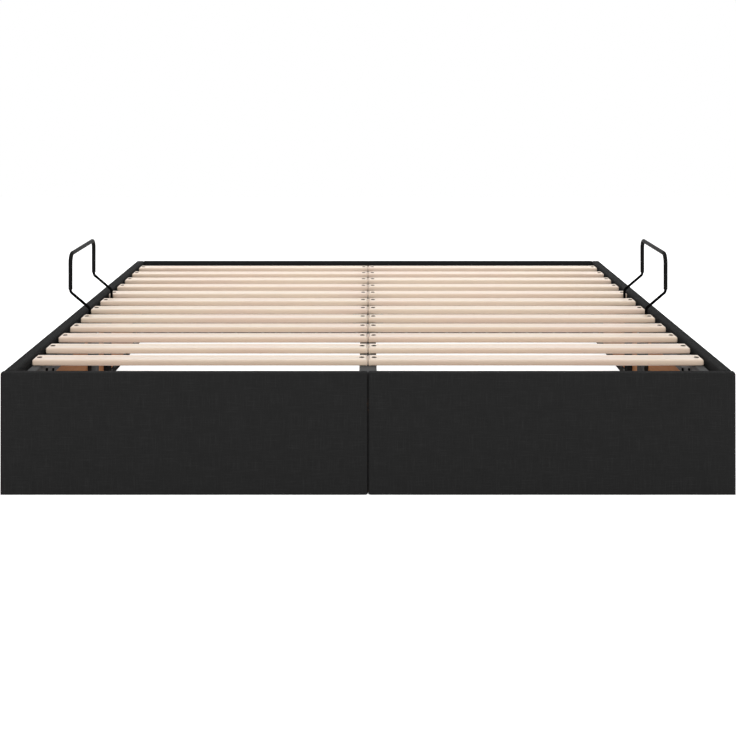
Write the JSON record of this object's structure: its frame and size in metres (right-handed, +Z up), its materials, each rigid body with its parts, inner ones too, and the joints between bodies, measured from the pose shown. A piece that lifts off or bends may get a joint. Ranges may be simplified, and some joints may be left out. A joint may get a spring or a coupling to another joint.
{
  "type": "ottoman bed frame",
  "caption": "Low upholstered storage bed frame with a slatted steel lifting frame, hinged at the head end on gas struts, and a mattress retainer on each side.",
  "frame": {"origin": "on the floor, under the middle of the box", "axes": "+X to the right seen from the foot end, +Y from the foot end to the head end, where the hinges are, +Z up"},
  "size_m": [1.8564, 2.03, 0.4917],
  "materials": {
    "upholstery": "matt black woven fabric over wooden boards",
    "slat_wood": "planed pale softwood",
    "black_steel": "satin black powder coat",
    "bright_steel": "polished",
    "rubber": "matt",
    "sleeve": "soft satin vinyl"
  },
  "bodies": {
    "box": {"front_panel_right": "upholstery", "rear_panel_right": "upholstery", "side_board_right": "upholstery", "corner_bracket_front_right": "black_steel", "corner_bracket_rear_right": "black_steel", "rest_pad_right": "rubber", "support_channel_right": "black_steel", "mechanism_plate_right": "black_steel", "front_panel_left": "upholstery", "rear_panel_left": "upholstery", "side_board_left": "upholstery", "corner_bracket_front_left": "black_steel", "corner_bracket_rear_left": "black_steel", "rest_pad_left": "rubber", "support_channel_left": "black_steel", "mechanism_plate_left": "black_steel", "seam_bracket_front": "black_steel", "seam_plate_rear": "black_steel", "rest_pad_centre": "rubber"},
    "lifting_frame": {"side_tube_right": "black_steel", "retainer_rod_right": "black_steel", "retainer_sleeve_right": "sleeve", "hinge_pin_right": "bright_steel", "slat_right_01": "slat_wood", "slat_right_02": "slat_wood", "slat_right_03": "slat_wood", "slat_right_04": "slat_wood", "slat_right_05": "slat_wood", "slat_right_06": "slat_wood", "slat_right_07": "slat_wood", "slat_right_08": "slat_wood", "slat_right_09": "slat_wood", "slat_right_10": "slat_wood", "slat_right_11": "slat_wood", "slat_right_12": "slat_wood", "side_tube_left": "black_steel", "retainer_rod_left": "black_steel", "retainer_sleeve_left": "sleeve", "hinge_pin_left": "bright_steel", "slat_left_01": "slat_wood", "slat_left_02": "slat_wood", "slat_left_03": "slat_wood", "slat_left_04": "slat_wood", "slat_left_05": "slat_wood", "slat_left_06": "slat_wood", "slat_left_07": "slat_wood", "slat_left_08": "slat_wood", "slat_left_09": "slat_wood", "slat_left_10": "slat_wood", "slat_left_11": "slat_wood", "slat_left_12": "slat_wood", "cross_tube_front": "black_steel", "cross_tube_rear": "black_steel", "centre_beam": "black_steel"},
    "strut_cylinder_right": {"strut_cylinder_right": "black_steel"},
    "strut_rod_right": {"strut_rod_right": "bright_steel"},
    "strut_cylinder_left": {"strut_cylinder_left": "black_steel"},
    "strut_rod_left": {"strut_rod_left": "bright_steel"}
  },
  "joints": [
    {"name": "lift", "type": "hinge", "parent": "box", "child": "lifting_frame", "pos_m": [0, 0.857, 0.269], "axis": [-1, 0, 0], "range_deg": [0, 40]},
    {"name": "strut_lower_pivot_right", "type": "hinge", "parent": "box", "child": "strut_cylinder_right", "pos_m": [0.858, 0.7653, 0.04721], "axis": [-1, 0, 0], "range_deg": [0, 20]},
    {"name": "strut_upper_pivot_right", "type": "hinge", "parent": "lifting_frame", "child": "strut_rod_right", "pos_m": [0.858, 0.62185, 0.221], "axis": [-1, 0, 0], "range_deg": [-20, 0]},
    {"name": "strut_lower_pivot_left", "type": "hinge", "parent": "box", "child": "strut_cylinder_left", "pos_m": [-0.858, 0.7653, 0.04721], "axis": [-1, 0, 0], "range_deg": [0, 20]},
    {"name": "strut_upper_pivot_left", "type": "hinge", "parent": "lifting_frame", "child": "strut_rod_left", "pos_m": [-0.858, 0.62185, 0.221], "axis": [-1, 0, 0], "range_deg": [-20, 0]}
  ],
  "couplings": [
    {"joint": "strut_lower_pivot_right", "follows": "lift", "ratio": 0.5},
    {"joint": "strut_upper_pivot_right", "follows": "lift", "ratio": -0.5},
    {"joint": "strut_lower_pivot_left", "follows": "lift", "ratio": 0.5},
    {"joint": "strut_upper_pivot_left", "follows": "lift", "ratio": -0.5}
  ]
}
